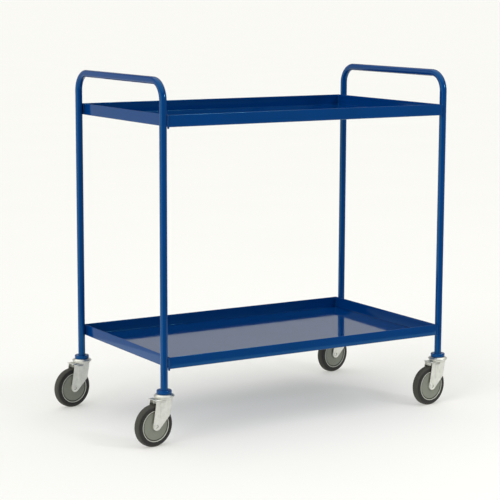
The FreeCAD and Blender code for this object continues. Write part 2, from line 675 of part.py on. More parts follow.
def fork(name, along, over):
    """A pressed fork: round crown, top plate and two ribbed cheeks down to the axle."""
    body = new_body(f"fork_{name}")
    side = new_sketch(body, "XZ_Plane")
    cheek_outline(side)
    pad(body, side, f"2 * {CHEEK_OUT}", midplane=True)
    top = value(PLATE_TOP)
    wide = value(CHEEK_OUT)
    soften(body, "sizes.fork_bend", lambda e: is_straight_along(e, "x") and e.BoundBox.ZMin > top - 0.01)
    room = new_sketch(body, "XZ_Plane")
    draw_polygon(room, (
        ("front_low", "-2 * sizes.fork_front", f"-{AXLE_UP}"),
        ("back_low", "3 * sizes.fork_back", f"-{AXLE_UP}"),
        ("back_high", "3 * sizes.fork_back", PLATE_UNDER),
        ("front_high", "-2 * sizes.fork_front", PLATE_UNDER),
    ))
    pocket(body, room, f"2 * {CHEEK_IN}", midplane=True)
    level = value(PLATE_UNDER)
    inner = value(CHEEK_IN)
    soften(body, "sizes.fork_bend / 2", lambda e: (
        is_straight_along(e, "x")
        and abs(e.BoundBox.ZMax - level) < 0.01
        and abs(abs(e.BoundBox.YMax) - inner) < 0.01
    ))
    crown = new_sketch(body, "XY_Plane", PLATE_UNDER)
    draw_circle(crown, "crown", "sizes.crown_diameter / 2")
    pad(body, crown, "sizes.crown_height + sizes.fork_sheet")
    radius = value("sizes.crown_diameter / 2")
    crown_level = value(CROWN_TOP)
    soften(body, "sizes.crown_round", lambda e: is_ring_at(e, radius, crown_level))
    recess = new_sketch(body, "XY_Plane", PLATE_UNDER)
    draw_circle(recess, "recess", f"{FLANGE_RADIUS} + sizes.pocket_room")
    pocket(body, recess, f"{ROOF} - {PLATE_UNDER}", reverse=True)
    hole = new_sketch(body, "XY_Plane", PLATE_UNDER)
    draw_circle(hole, "kingpin", "sizes.kingpin_diameter / 2 + sizes.kingpin_play")
    pocket(body, hole, CASTOR_HEIGHT, reverse=True)
    for lift, reverse in ((f"-{CHEEK_OUT}", True), (CHEEK_OUT, False)):
        rib = new_sketch(body, "XZ_Plane", lift)
        rib_outline(rib)
        pad(body, rib, "sizes.rib_height", reverse=reverse)
    height = value("sizes.rib_height")
    soften(body, "sizes.rib_height * 0.9", lambda e: (
        abs(abs(e.BoundBox.YMin) - wide - height) < 0.01
        and abs(abs(e.BoundBox.YMax) - wide - height) < 0.01
    ), "PartDesign::Chamfer")
    eye = new_sketch(body, "XZ_Plane")
    draw_circle(eye, "eye", "sizes.axle_diameter / 2", "sizes.wheel_trail", AXLE_UP)
    pocket(body, eye, midplane=True)
    turn_to_trail(body, name)
    at_leg(body, along, over)


def at_axle(thing, name, along, over):
    """Put a piece that is drawn about its own centre on the axle of its castor."""
    swing = f"(sizes.swing_{name} * 1 deg)"
    turn_to_trail(thing, name)
    thing.setExpression("Placement.Base.x", f"{along} * {HALF_LONG} + sizes.wheel_trail * cos({swing})")
    thing.setExpression("Placement.Base.y", f"{over} * {HALF_WIDE} + sizes.wheel_trail * sin({swing})")
    thing.setExpression("Placement.Base.z", AXLE_UP)


def axle(name, along, over):
    """A tubular axle, flared over the outside of both cheeks."""
    bore = "(sizes.axle_diameter / 2 - sizes.axle_wall)"
    shaft = "sizes.axle_diameter / 2"
    head = "(sizes.axle_diameter / 2 + sizes.axle_flare)"
    end = f"({CHEEK_OUT} + sizes.axle_head_height)"
    body = turned(f"axle_{name}", (
        ("bore_left", bore, f"-{end}"),
        ("bore_right", bore, end),
        ("head_right_end", head, end),
        ("head_right", head, CHEEK_OUT),
        ("shaft_right", shaft, CHEEK_OUT),
        ("shaft_left", shaft, f"-{CHEEK_OUT}"),
        ("head_left", head, f"-{CHEEK_OUT}"),
        ("head_left_end", head, f"-{end}"),
    ), "XY_Plane", "Y_Axis")
    radius = value(head)
    reach = value(end)
    soften(body, "sizes.axle_head_height * 0.7",
           lambda e: any(is_ring_at(e, radius, side * reach, "y") for side in (-1, 1)))
    at_axle(body, name, along, over)


def bush(name, along, over):
    """The steel sleeve in the hub that turns on the axle."""
    bore = "sizes.axle_diameter / 2 + sizes.bush_play"
    shell = BUSH_RADIUS
    end = f"({CHEEK_IN} - sizes.bush_gap)"
    body = turned(f"bush_{name}", (
        ("bore_left", bore, f"-{end}"),
        ("bore_right", bore, end),
        ("shell_right", shell, end),
        ("shell_left", shell, f"-{end}"),
    ), "XY_Plane", "Y_Axis")
    at_axle(body, name, along, over)


def mirrored_outline(corners):
    """Corners for one side of a wheel, then the same ones mirrored, in order round the outline."""
    right = [(name + "_right", across, up) for name, across, up in corners]
    left = [(name + "_left", across, f"-({up})") for name, across, up in reversed(corners)]
    return right + left


def hub(name, along, over):
    """The wheel centre: a rim with a thin lip each side, a dished web and a thick middle."""
    seat = RIM_SEAT
    lip = f"{RIM_SEAT} + sizes.rim_lip"
    rim_in = f"{RIM_SEAT} - sizes.rim_wall"
    half_rim = RIM_HALF
    half_lip = f"({RIM_HALF} + sizes.rim_lip_width)"
    half_web = "sizes.web_width / 2"
    half_hub = HUB_HALF
    body = turned(f"hub_{name}", mirrored_outline((
        ("seat", seat, half_rim),
        ("lip_in", lip, half_rim),
        ("lip_out", lip, half_lip),
        ("rim_out", rim_in, half_lip),
        ("web_rim", f"{rim_in} - sizes.rim_wall / 2", half_web),
        ("web_hub", "sizes.dish_diameter / 2", half_web),
        ("hub_end", "sizes.hub_diameter / 2", half_hub),
        ("bore", BUSH_RADIUS, half_hub),
    )), "XY_Plane", "Y_Axis")
    at_axle(body, name, along, over)


def tyre(name, along, over):
    """The solid rubber tyre on the hub's rim, with a rounded tread."""
    seat = RIM_SEAT
    lip = f"{RIM_SEAT} + sizes.rim_lip"
    outer = "sizes.wheel_diameter / 2"
    half_rim = RIM_HALF
    half_lip = f"({RIM_HALF} + sizes.rim_lip_width)"
    half_tyre = "sizes.tyre_width / 2"
    body = turned(f"tyre_{name}", mirrored_outline((
        ("tread", outer, half_tyre),
        ("side", lip, half_tyre),
        ("lip_out", lip, half_rim),
        ("seat", seat, half_rim),
    )), "XY_Plane", "Y_Axis")
    radius = value(outer)
    reach = value(half_tyre)
    soften(body, "sizes.tread_round",
           lambda e: any(is_ring_at(e, radius, side * reach, "y") for side in (-1, 1)))
    at_axle(body, name, along, over)


for corner in CORNERS:
    for make in (top_disc, kingpin, castor_bolt, ball_ring, fork, axle, bush, hub, tyre):
        make(*corner)

# ---- check every object and write the nodes ----

doc.recompute()
for thing in doc.Objects:
    if "Invalid" in thing.State or "Error" in thing.State:
        raise RuntimeError(f"{thing.Label} failed: {thing.State}")
for node in nodes:
    if node.Shape.isNull() or not node.Shape.isValid():
        raise RuntimeError(f"{node.Label} has no valid shape")
os.makedirs("parts", exist_ok=True)
for node in nodes:
    node.Shape.exportStep(os.path.join("parts", node.Label + ".step"))
    box = node.Shape.optimalBoundingBox()
    print(f"{node.Label}: {len(node.Shape.Solids)} solids, "
          f"z {box.ZMin:.1f} to {box.ZMax:.1f}, {node.Shape.Volume / 1000:.1f} cm3")
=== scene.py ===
# %% [markdown]
# # A two-tier tray trolley
# Two hoops of bent steel tube hold two shallow sheet-steel trays, one near the floor and one at working height, and
# each leg stands on a swivel castor. The hoops' tops are the push handles. The frame and trays are stoved in glossy
# blue enamel, the castors are zinc-plated steel with a grey nylon wheel centre and a solid black rubber tyre.
#
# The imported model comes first, because it fixes every place and size: the hinges say where the castors stand and
# which way they trail, and each part's box says how long and how high it is. The script then makes a finer surface
# for each part that shows, as arrays of points worked out with numpy, and paints it with a node material.

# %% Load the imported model
import json
import math

import bmesh
import bpy
import numpy as np
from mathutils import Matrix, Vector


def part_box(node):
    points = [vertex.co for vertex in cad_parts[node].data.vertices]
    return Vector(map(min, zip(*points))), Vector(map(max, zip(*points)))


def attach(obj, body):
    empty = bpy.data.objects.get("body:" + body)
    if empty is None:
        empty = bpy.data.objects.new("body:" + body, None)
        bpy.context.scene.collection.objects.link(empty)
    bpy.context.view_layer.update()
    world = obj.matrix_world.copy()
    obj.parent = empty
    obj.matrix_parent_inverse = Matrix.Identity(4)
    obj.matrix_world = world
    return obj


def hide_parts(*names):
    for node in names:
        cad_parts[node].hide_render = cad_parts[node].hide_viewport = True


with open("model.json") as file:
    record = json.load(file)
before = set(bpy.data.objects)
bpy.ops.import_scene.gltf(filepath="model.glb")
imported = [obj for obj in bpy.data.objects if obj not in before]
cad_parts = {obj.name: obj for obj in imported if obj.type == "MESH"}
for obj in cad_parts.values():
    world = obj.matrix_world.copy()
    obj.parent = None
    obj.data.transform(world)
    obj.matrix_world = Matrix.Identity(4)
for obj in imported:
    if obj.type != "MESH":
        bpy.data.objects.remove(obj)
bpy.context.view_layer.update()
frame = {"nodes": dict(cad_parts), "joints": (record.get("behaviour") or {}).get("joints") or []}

mm = 0.001
UP = (0, 0, 1)
joints = {joint["name"]: joint for joint in frame["joints"]}
CORNERS = ("front_left", "back_left", "front_right", "back_right")

# %% [markdown]
# ## Surfaces from numbers
# Almost everything here is a flat outline that is either turned on a lathe (bosses, discs, hubs, tyres), or pushed
# along a line (tube, weld beads), or folded round a rectangle (trays). So four small functions make nearly every
# mesh: one rounds the corners of an outline, one turns it, one carries it along a path, and one joins a grid of
# points with four-sided faces. Modelling by hand in Edit Mode would also work, but numbers keep the real sizes, and
# a change of one size redraws the whole piece.

# %% Rounded outlines
def unit(vectors):
    """Each vector divided by its own length."""
    vectors = np.asarray(vectors, float)
    return vectors / np.linalg.norm(vectors, axis=-1, keepdims=True)


def eased(corners, steps=6, closed=True):
    """A flat outline with rounded corners, from (across, up, radius) for each corner.

    Each corner becomes the arc of that radius that touches both of its sides. The arc's centre lies on the line
    that halves the corner, at radius / sin(half the angle) from it, and the points turn about that centre.
    An open outline keeps its two ends as they are.
    """
    corners = np.array(corners, float)
    spot, radius = corners[:, :2], corners[:, 2:]
    back = unit(np.roll(spot, 1, 0) - spot)
    ahead = unit(np.roll(spot, -1, 0) - spot)
    half = np.arccos(np.clip((back * ahead).sum(1, keepdims=True), -1, 1)) / 2
    centre = spot + unit(back + ahead) * radius / np.sin(half)
    start = spot + back * radius / np.tan(half) - centre
    end = spot + ahead * radius / np.tan(half) - centre
    sweep = np.pi - 2 * half
    part = np.linspace(0, 1, steps)
    from_start = (np.sin((1 - part) * sweep) / np.sin(sweep))[..., None]
    from_end = (np.sin(part * sweep) / np.sin(sweep))[..., None]
    points = centre[:, None] + from_start * start[:, None] + from_end * end[:, None]
    points = points.reshape(-1, 2)
    return points if closed else points[steps - 1:len(points) - steps + 1]


def circle(radius, steps):
    """Points of a circle about the origin."""
    turn = np.linspace(0, 2 * np.pi, steps, endpoint=False)
    return radius * np.stack([np.cos(turn), np.sin(turn)], 1)


# %% Grids, turned shapes and carried shapes
def surface(points, round_rows=False, round_columns=False):
    """A grid of points and the four-sided faces in its cells.

    Cell (i, j) joins point (i, j) to (i + 1, j), (i + 1, j + 1) and (i, j + 1). A direction that goes round is
    joined to its own start.
    """
    rows, columns = points.shape[:2]
    number = np.arange(rows * columns).reshape(rows, columns)
    if round_rows:
        number = np.vstack([number, number[:1]])
    if round_columns:
        number = np.hstack([number, number[:, :1]])
    cells = [number[:-1, :-1], number[1:, :-1], number[1:, 1:], number[:-1, 1:]]
    return points.reshape(-1, 3), np.stack(cells, -1).reshape(-1, 4)


OFF_AXIS = (0.36, 0.48, 0.8)


def turned(outline, centre, axis, steps=96, closed=False):
    """An outline turned about an axis: (radius, height) becomes a circle of that radius at that height.

    The point at angle a is centre + height * axis + radius * (cos a * side + sin a * (axis x side)). The side
    direction is square to the axis and to OFF_AXIS, which no axis here is parallel to.
    """
    axis = unit(axis)
    side = unit(np.cross(axis, OFF_AXIS))
    ring = circle(1, steps) @ np.array([side, np.cross(axis, side)])
    points = centre + outline[:, None, :1] * ring + outline[:, None, 1:] * axis
    return surface(points, round_rows=closed, round_columns=True)


def carried(outline, path, across, size=1.0):
    """An outline carried along a flat path, with its second direction turned to stay square to the path.

    Each path point gives one row: point + first * across + second * (across x direction of travel) * size.
    """
    ahead = unit(np.gradient(path, axis=0))
    aside = np.cross(across, ahead) * np.reshape(size, (-1, 1))
    return path[:, None] + outline[:, :1] * np.asarray(across, float) + outline[:, 1:] * aside[:, None]


# %% [markdown]
# ## From points to a piece
# A piece is one Blender object: a mesh, a finish, and the body of the model that carries it when the castors swivel or
# the wheels roll. Surfaces that share an edge come as separate grids, so their points are merged before the normals
# are worked out, or every seam would show as a line in the gloss. Smooth shading is kept to angles below 35 degrees,
# which leaves the folds and rims crisp.

# %% Pieces
TOUCHING = 2e-6
CRISP = math.radians(35)


def piece(name, surfaces, body, coat, replaced):
    """One object from several surfaces, riding on its body in place of the CAD nodes.

    Points that touch become one, every closed shell is turned to face outwards, and an edge sharper than the crisp
    angle stays an edge while the rest is shaded smooth.
    """
    starts = np.cumsum([0] + [len(points) for points, faces in surfaces])
    points = np.vstack([points for points, faces in surfaces])
    faces = np.vstack([faces + start for (_, faces), start in zip(surfaces, starts)])
    mesh = bpy.data.meshes.new(name)
    mesh.from_pydata(points, [], faces)
    soup = bmesh.new()
    soup.from_mesh(mesh)
    bmesh.ops.remove_doubles(soup, verts=soup.verts, dist=TOUCHING)
    bmesh.ops.recalc_face_normals(soup, faces=soup.faces)
    soup.to_mesh(mesh)
    soup.free()
    mesh.shade_smooth()
    mesh.set_sharp_from_angle(angle=CRISP)
    mesh.materials.append(coat)
    made = bpy.data.objects.new(name, mesh)
    bpy.context.scene.collection.objects.link(made)
    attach(made, body)
    if replaced:
        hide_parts(*replaced)
    print(f"{name}: {len(mesh.vertices)} points, {len(mesh.polygons)} faces")
    return made


# %% [markdown]
# ## Finishes
# Each finish is a node material that starts from the Principled shader. The nodes read Object coordinates, which are
# metres here, so a pattern's scale is one over its real size. Colours are picked as sRGB hex values, which is how
# paint and colour pickers give them, and one function turns them to the linear values that the shader works in.

# %% Tools for the finishes
def linear(hex_code):
    """An sRGB hex colour as linear red, green, blue and alpha."""
    channels = np.array([int(hex_code[i:i + 2], 16) for i in (0, 2, 4)]) / 255
    flat = np.where(channels <= 0.04045, channels / 12.92, ((channels + 0.055) / 1.055) ** 2.4)
    return (*flat.tolist(), 1.0)


def add(tree, kind, inputs=None, **settings):
    """Adds one node. Settings are the node's own; inputs are numbers, colours or another node's output."""
    made = tree.nodes.new("ShaderNode" + kind)
    for name, value in settings.items():
        setattr(made, name, value)
    for key, value in (inputs or {}).items():
        if isinstance(value, bpy.types.NodeSocket):
            tree.links.new(value, made.inputs[key])
        else:
            made.inputs[key].default_value = value
    return made


def finish(name, **constants):
    """A material with its tree, its Principled shader and an Object coordinate to hang patterns on."""
    made = bpy.data.materials.new(name)
    made.use_nodes = True
    shader = made.node_tree.nodes["Principled BSDF"]
    for key, value in constants.items():
        shader.inputs[key.replace("_", " ")].default_value = value
    place = add(made.node_tree, "TexCoord").outputs["Object"]
    return made, made.node_tree, shader, place


# %% [markdown]
# ### Stoved enamel
# The frame and trays are sprayed with blue enamel and baked. That gives a deep colour under a hard gloss: the blue
# itself stays dark, and what the eye sees most is the white room mirrored in it, faint when looked at square on and
# strong at a glancing angle. A dielectric does exactly that, and its index of 1.6 is at the high end for a baked resin.
# The blue specular tint is a liberty taken for the look: a plain dielectric mirrors a white room in white, and this
# enamel looks bluer than that. The film is not perfectly flat: it has orange peel about 2 mm across with slopes of a
# tenth of a degree, and handling leaves smears a few centimetres across, which show only as a wandering roughness.

# %% Blue stoved enamel
blue_enamel, tree, shader, place = finish("stoved_blue_enamel_on_steel", IOR=1.6, Specular_Tint=linear("73d7f9"))
cloud = add(tree, "TexNoise", {"Vector": place, "Scale": 1 / 0.12, "Detail": 3.0})
shade = add(tree, "Mix", {0: cloud.outputs["Fac"], 6: linear("003068"), 7: linear("013475")}, data_type="RGBA")
tree.links.new(shade.outputs[2], shader.inputs["Base Color"])
smear = add(tree, "TexNoise", {"Vector": place, "Scale": 1 / 0.035, "Detail": 5.0, "Roughness": 0.65})
gloss = add(tree, "MapRange", {"Value": smear.outputs["Fac"], "From Min": 0.35, "From Max": 0.75,
                               "To Min": 0.05, "To Max": 0.12})
tree.links.new(gloss.outputs["Result"], shader.inputs["Roughness"])
peel = add(tree, "TexNoise", {"Vector": place, "Scale": 1 / 0.002, "Detail": 1.0})
film = add(tree, "Bump", {"Height": peel.outputs["Fac"], "Strength": 0.12, "Distance": 0.00002})
tree.links.new(film.outputs["Normal"], shader.inputs["Normal"])
print("Finish:", blue_enamel.name)

# %% [markdown]
# ### Bright zinc plate
# Fork, top disc and axle are steel with an electroplated coat of zinc: a pale grey-white metal. Pressing leaves a fine
# directionless grain, and handling leaves duller clouds about a centimetre across, so the roughness wanders. The metal
# keeps the shader's default index of refraction, and its colour is its own reflectance. The axle is a tube, and its
# bore is painted nearly black as painted shade, for the shade inside the hole. The mesh says where, in an attribute of
# its own.

# %% Zinc plate
zinc, tree, shader, place = finish("bright_zinc_plate_on_pressed_steel", Metallic=1.0)
bloom = add(tree, "TexNoise", {"Vector": place, "Scale": 1 / 0.012, "Detail": 6.0, "Roughness": 0.6})
tone = add(tree, "Mix", {0: bloom.outputs["Fac"], 6: linear("d0d1ca"), 7: linear("f5f6f0")}, data_type="RGBA")
# Painted shade: inside the axle's bore the attribute is 1, and there the zinc colour is mixed to near-black 2b2c28.
painted_bore_shade = add(tree, "Attribute", attribute_name="painted_bore_shade").outputs["Fac"]
tone = add(tree, "Mix", {0: painted_bore_shade, 6: tone.outputs[2], 7: linear("2b2c28")}, data_type="RGBA")
tree.links.new(tone.outputs[2], shader.inputs["Base Color"])
dull = add(tree, "MapRange", {"Value": bloom.outputs["Fac"], "From Min": 0.3, "From Max": 0.7,
                              "To Min": 0.42, "To Max": 0.28})
tree.links.new(dull.outputs["Result"], shader.inputs["Roughness"])
grain = add(tree, "TexNoise", {"Vector": place, "Scale": 1 / 0.0006, "Detail": 2.0})
skin = add(tree, "Bump", {"Height": grain.outputs["Fac"], "Strength": 0.25, "Distance": 0.00005})
tree.links.new(skin.outputs["Normal"], shader.inputs["Normal"])
print("Finish:", zinc.name)

# %% [markdown]
# ### Turned and plated steel
# The kingpin, bolt, balls and bush are turned or ground, so they are smoother than the pressed parts, and a patchy
# film of oil darkens them. Only slivers of them show.

# %% Turned steel
steel, tree, shader, place = finish("turned_and_plated_steel", Metallic=1.0)
oil_film = add(tree, "TexNoise", {"Vector": place, "Scale": 1 / 0.006, "Detail": 4.0})
tone = add(tree, "Mix", {0: oil_film.outputs["Fac"], 6: linear("8e8d86"), 7: linear("c9c8c2")}, data_type="RGBA")
tree.links.new(tone.outputs[2], shader.inputs["Base Color"])
dull = add(tree, "MapRange", {"Value": oil_film.outputs["Fac"], "To Min": 0.2, "To Max": 0.4})
tree.links.new(dull.outputs["Result"], shader.inputs["Roughness"])
print("Finish:", steel.name)

# %% [markdown]
# ### Moulded grey nylon
# The wheel centre is injection-moulded nylon in a warm mid grey. The mould leaves it half matt with a fine tooth, and
# a little floor dust dulls it in patches. The groove beside the tyre is painted dark as painted shade, and the ridge
# outside the groove is painted pale as a painted highlight. The mesh says which is which in an attribute of its own
# called relief: 0 in the groove, 1 on the ridge and a half everywhere else.

# %% Grey nylon
nylon, tree, shader, place = finish("moulded_grey_nylon", IOR=1.53)
dust = add(tree, "TexNoise", {"Vector": place, "Scale": 1 / 0.02, "Detail": 5.0, "Roughness": 0.6})
tone = add(tree, "Mix", {0: dust.outputs["Fac"], 6: linear("74786c"), 7: linear("83877b")}, data_type="RGBA")
relief = add(tree, "Attribute", attribute_name="relief").outputs["Fac"]
# Painted shade and painted highlight: the groove (relief 0) is mixed towards dark 33362f, and the ridge (relief 1)
# towards pale b9bcb2.
painted_groove_shade = add(tree, "MapRange", {"Value": relief, "From Min": 0.5, "From Max": 0.0})
painted_ridge_highlight = add(tree, "MapRange", {"Value": relief, "From Min": 0.5, "From Max": 1.0})
tone = add(tree, "Mix", {0: painted_groove_shade.outputs["Result"], 6: tone.outputs[2], 7: linear("33362f")}, data_type="RGBA")
tone = add(tree, "Mix", {0: painted_ridge_highlight.outputs["Result"], 6: tone.outputs[2], 7: linear("b9bcb2")}, data_type="RGBA")
tree.links.new(tone.outputs[2], shader.inputs["Base Color"])
dull = add(tree, "MapRange", {"Value": dust.outputs["Fac"], "To Min": 0.38, "To Max": 0.55})
tree.links.new(dull.outputs["Result"], shader.inputs["Roughness"])
tooth = add(tree, "TexNoise", {"Vector": place, "Scale": 1 / 0.0008, "Detail": 2.0})
skin = add(tree, "Bump", {"Height": tooth.outputs["Fac"], "Strength": 0.2, "Distance": 0.00005})
tree.links.new(skin.outputs["Normal"], shader.inputs["Normal"])
print("Finish:", nylon.name)

# %% [markdown]
# ### Solid black rubber
# The tyre is moulded black rubber. New rubber is nearly black with a soft broad sheen. Rolling scuffs the tread to a
# dusty dark grey, while the side walls stay black, so the colour follows how far a point is from the axle. The mesh
# holds that as an attribute called tread, because the pattern has to turn with the wheel.

# %% Black rubber
rubber, tree, shader, place = finish("moulded_black_rubber", IOR=1.52)
tread = add(tree, "Attribute", attribute_name="tread").outputs["Fac"]
speck = add(tree, "TexNoise", {"Vector": place, "Scale": 1 / 0.004, "Detail": 6.0, "Roughness": 0.7})
worn = add(tree, "Math", {0: tread, 1: speck.outputs["Fac"]}, operation="MULTIPLY")
scuff = add(tree, "MapRange", {"Value": worn.outputs[0], "From Min": 0.1, "From Max": 0.6})
tone = add(tree, "Mix", {0: scuff.outputs["Result"], 6: linear("0e0f0b"), 7: linear("3f3f39")}, data_type="RGBA")
tree.links.new(tone.outputs[2], shader.inputs["Base Color"])
dull = add(tree, "MapRange", {"Value": scuff.outputs["Result"], "To Min": 0.5, "To Max": 0.85})
tree.links.new(dull.outputs["Result"], shader.inputs["Roughness"])
skin = add(tree, "Bump", {"Height": speck.outputs["Fac"], "Strength": 0.3, "Distance": 0.0001})
tree.links.new(skin.outputs["Normal"], shader.inputs["Normal"])
print("Finish:", rubber.name)

# %% [markdown]
# ## The end frames
# Each end of the trolley is one steel tube, bent twice: up a leg, over the handle and down the other leg. A pipe
# bevel on a curve would give the same look, but carrying two circles along one path gives the real wall as well, and
# lets the tube flatten a little in its bends as a real one does on the bending former.

# %% Bent tube hoops
low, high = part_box("left_end_frame")
tube_radius = (high.x - low.x) / 2
leg_reach = high.y - tube_radius
TUBE_WALL = 1.5 * mm
BEND_RADIUS = 56 * mm
FLATTENING = 0.03
ROUND_TUBE = 48
print(f"Tube {2 * tube_radius / mm:.1f} mm across, legs {2 * leg_reach / mm:.1f} mm apart, axis to axis")


def hoop(name):
    """The line up, over and down, with a circle carried along it outside and a smaller one back along the inside.

    The circle's height in the plane of the bend shrinks by the flattening times |sin(2 * angle turned)|, which is
    nothing on the straights and most in the middle of a bend.
    """
    low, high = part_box(name)
    axis_x, top = (low.x + high.x) / 2, high.z - tube_radius
    line = eased([(-leg_reach, low.z, 0), (-leg_reach, top, BEND_RADIUS), (leg_reach, top, BEND_RADIUS),
                  (leg_reach, low.z, 0)], steps=33, closed=False)
    path = np.column_stack([np.full(len(line), axis_x), line])
    ahead = unit(np.gradient(path, axis=0))
    oval = 1 - FLATTENING * np.abs(2 * ahead[:, 1] * ahead[:, 2])
    outside = carried(circle(tube_radius, ROUND_TUBE), path, (1, 0, 0), oval)
    inside = carried(circle(tube_radius - TUBE_WALL, ROUND_TUBE), path, (1, 0, 0), oval)
    wall = np.concatenate([outside, inside[::-1]])
    return piece(name.replace("frame", "hoop"), [surface(wall, True, True)], "frame", blue_enamel, [name])


for name in ("left_end_frame", "right_end_frame"):
    hoop(name)

# %% [markdown]
# ## The trays
# A tray is one blank of 1.5 mm sheet. Its four edges are folded up into a lip, the lip's top edge is folded back
# down inside as a hem, so that nobody meets a raw edge, and the corners are welded and ground round. The lip's
# section is one outline, carried round a rectangle whose corner radius shrinks as the outline goes inwards. The
# floor is a grid of its own that meets the lip point for point. A large thin floor always dishes a little, and in a
# gloss as sharp as this one that is what bends the mirrored edges, so the grid sags by 2.5 mm in the middle.

# %% Tray surfaces
SHEET = 1.5 * mm
CORNER = 4 * mm
FLOOR_EDGE = 5 * mm
FLOOR_CELLS = (64, 40)
SAG = 2.5 * mm
# The lip's section in mm: inwards from the tray's side, up from its underside, and the corner's radius.
LIP = [(5, 0, 0), (0, 0, 3.5), (0, 35, 1.1), (2.2, 35, 1.1), (2.2, 26, 0.3), (1.5, 26, 0.2), (1.5, 1.5, 0.4),
       (5, 1.5, 0)]


def round_loops(half_x, half_y, inward, radius, arc=7):
    """Loops round a rectangle, one for each inward step, with corner arcs that shrink to nothing.

    A loop's corner arcs have the corner radius less the inward step. Its straight sides are divided evenly, so the
    loop where the arcs are gone meets a plain rectangular grid.
    """
    inward = np.asarray(inward, float)[:, None]
    arc_radius = np.maximum(radius - inward, 0)
    reach = np.array([half_x, half_y])[:, None, None] - inward - arc_radius
    signs = np.array([(1, -1), (1, 1), (-1, 1), (-1, -1)])
    starts = np.radians([-90, 0, 90, 180])
    count = FLOOR_CELLS[::-1] * 2
    rows = []
    for corner in range(4):
        turn = starts[corner] + np.linspace(0, np.pi / 2, arc)
        centre = reach * signs[corner][:, None, None]
        bend = centre + arc_radius * np.stack([np.cos(turn), np.sin(turn)])[:, None]
        following = signs[(corner + 1) % 4][:, None, None] * reach
        far = following + arc_radius * np.array([math.cos(turn[-1]), math.sin(turn[-1])])[:, None, None]
        part = np.linspace(0, 1, count[corner] + 1)[1:-1]
        rows.append(bend)
        rows.append(bend[:, :, -1:] * (1 - part) + far * part)
    return np.moveaxis(np.concatenate(rows, 2), 0, -1)


def tray(name):
    """The folded lip carried round the rectangle, with a floor grid above and below.

    The floor drops by sag * (1 - (x / half)^2) * (1 - (y / half)^2): nothing at the edges, all of it in the middle.
    """
    low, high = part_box(name)
    half_x, half_y, foot = (high.x - low.x) / 2, (high.y - low.y) / 2, low.z
    lip = eased(LIP, steps=7, closed=False) * mm
    loops = round_loops(half_x, half_y, lip[:, 0], CORNER)
    height = np.broadcast_to(lip[:, 1, None, None] + foot, loops.shape[:2] + (1,))
    walls = surface(np.concatenate([loops, height], 2), round_columns=True)
    across, over = half_x - FLOOR_EDGE, half_y - FLOOR_EDGE
    x, y = np.meshgrid(np.linspace(-across, across, FLOOR_CELLS[0] + 1),
                       np.linspace(-over, over, FLOOR_CELLS[1] + 1), indexing="ij")
    dish = SAG * (1 - (x / across) ** 2) * (1 - (y / over) ** 2)
    floors = [surface(np.stack([x, y, foot + lift - dish], -1)) for lift in (0, SHEET)]
    return piece(name.replace("tray", "pan"), [walls, *floors], "frame", blue_enamel, [name])


for name in ("upper_tray", "lower_tray"):
    tray(name)

# %% [markdown]
# ## Welds and feet
# A tray hangs between the legs on four upright weld beads, and each leg is welded into a round foot boss. A weld
# bead is a row of frozen puddles, each a couple of millimetres further on, so its radius rises and falls along its
# length. The enamel rounds the ripples off but they still catch the light.

# %% Corner weld beads
BEAD = 3.4 * mm
PUDDLE = 2.6 * mm
WANDER = 310
BEAD_BESIDE_LEG = (12.2 * mm, 8.8 * mm)
BEAD_BELOW_TRAY = 5 * mm
BEAD_BELOW_LIP = 1 * mm


def bead(x, y, foot, top, seed):
    """An upright rod with round ends: radius = bead * sqrt(1 - end^10) * (95% + 5% ripple + 4% wander).

    End runs from 1 at the foot through 0 to 1 at the top. The ripple is |sin| with one hump for each puddle, and the
    wander is a sine with WANDER radians to the metre, about 20 mm a wave, started elsewhere for each bead.
    """
    up = np.linspace(foot, top, 90)
    end = np.clip(np.abs(2 * (up - foot) / (top - foot) - 1), 0, 1)
    ripple = 0.05 * np.abs(np.sin(np.pi * (up - foot) / PUDDLE)) + 0.04 * np.sin(up * WANDER + seed)
    radius = BEAD * np.sqrt(1 - end ** 10) * (0.95 + ripple)
    outline = np.column_stack([radius, up])
    return turned(outline, np.array([x, y, 0.0]), UP, steps=24)


legs = {name: np.array(joints[f"swivel_{name}"]["pos_m"][:2]) for name in CORNERS}
for tier in ("upper", "lower"):
    low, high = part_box(f"{tier}_tray")
    beads = []
    for count, corner in enumerate(CORNERS):
        x, y = legs[corner]
        beads.append(bead(x - math.copysign(BEAD_BESIDE_LEG[0], x), y + math.copysign(BEAD_BESIDE_LEG[1], y),
                          low.z - BEAD_BELOW_TRAY, high.z - BEAD_BELOW_LIP, count + 5 * (tier == "upper")))
    piece(f"{tier}_weld_beads", beads, "frame", blue_enamel, [f"{tier}_tray_welds"])

# %% [markdown]
# ### Foot bosses
# A boss is a thick turned washer with a socket in its top. The leg stands in the socket, the castor's bolt comes up
# through the smaller hole below it, and a ring weld closes the joint between leg and boss. The boss is a turned
# outline. The ring is a small circle carried round the leg, with the same frozen puddles as the upright beads.

# %% Foot bosses and their ring welds
BOLT_HOLE = 6.05 * mm
SOCKET_FLOOR = 5.5 * mm
BOSS_EDGE = 2.5 * mm

for corner in CORNERS:
    low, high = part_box(f"foot_boss_{corner}")
    rim, socket = (high.x - low.x) / 2, low.z + SOCKET_FLOOR
    outline = eased([(BOLT_HOLE, low.z, 0), (rim, low.z, BOSS_EDGE), (rim, high.z, BOSS_EDGE),
                     (tube_radius, high.z, 0), (tube_radius, socket, 0), (BOLT_HOLE, socket, 0)])
    piece(f"boss_{corner}", [turned(outline, np.array([*legs[corner], 0]), UP, closed=True)], "frame",
          blue_enamel, [f"foot_boss_{corner}"])

RING = 1.7 * mm
RING_PUDDLE = 2.4 * mm
RING_OUT, RING_UP = 0.2 * mm, 0.1 * mm


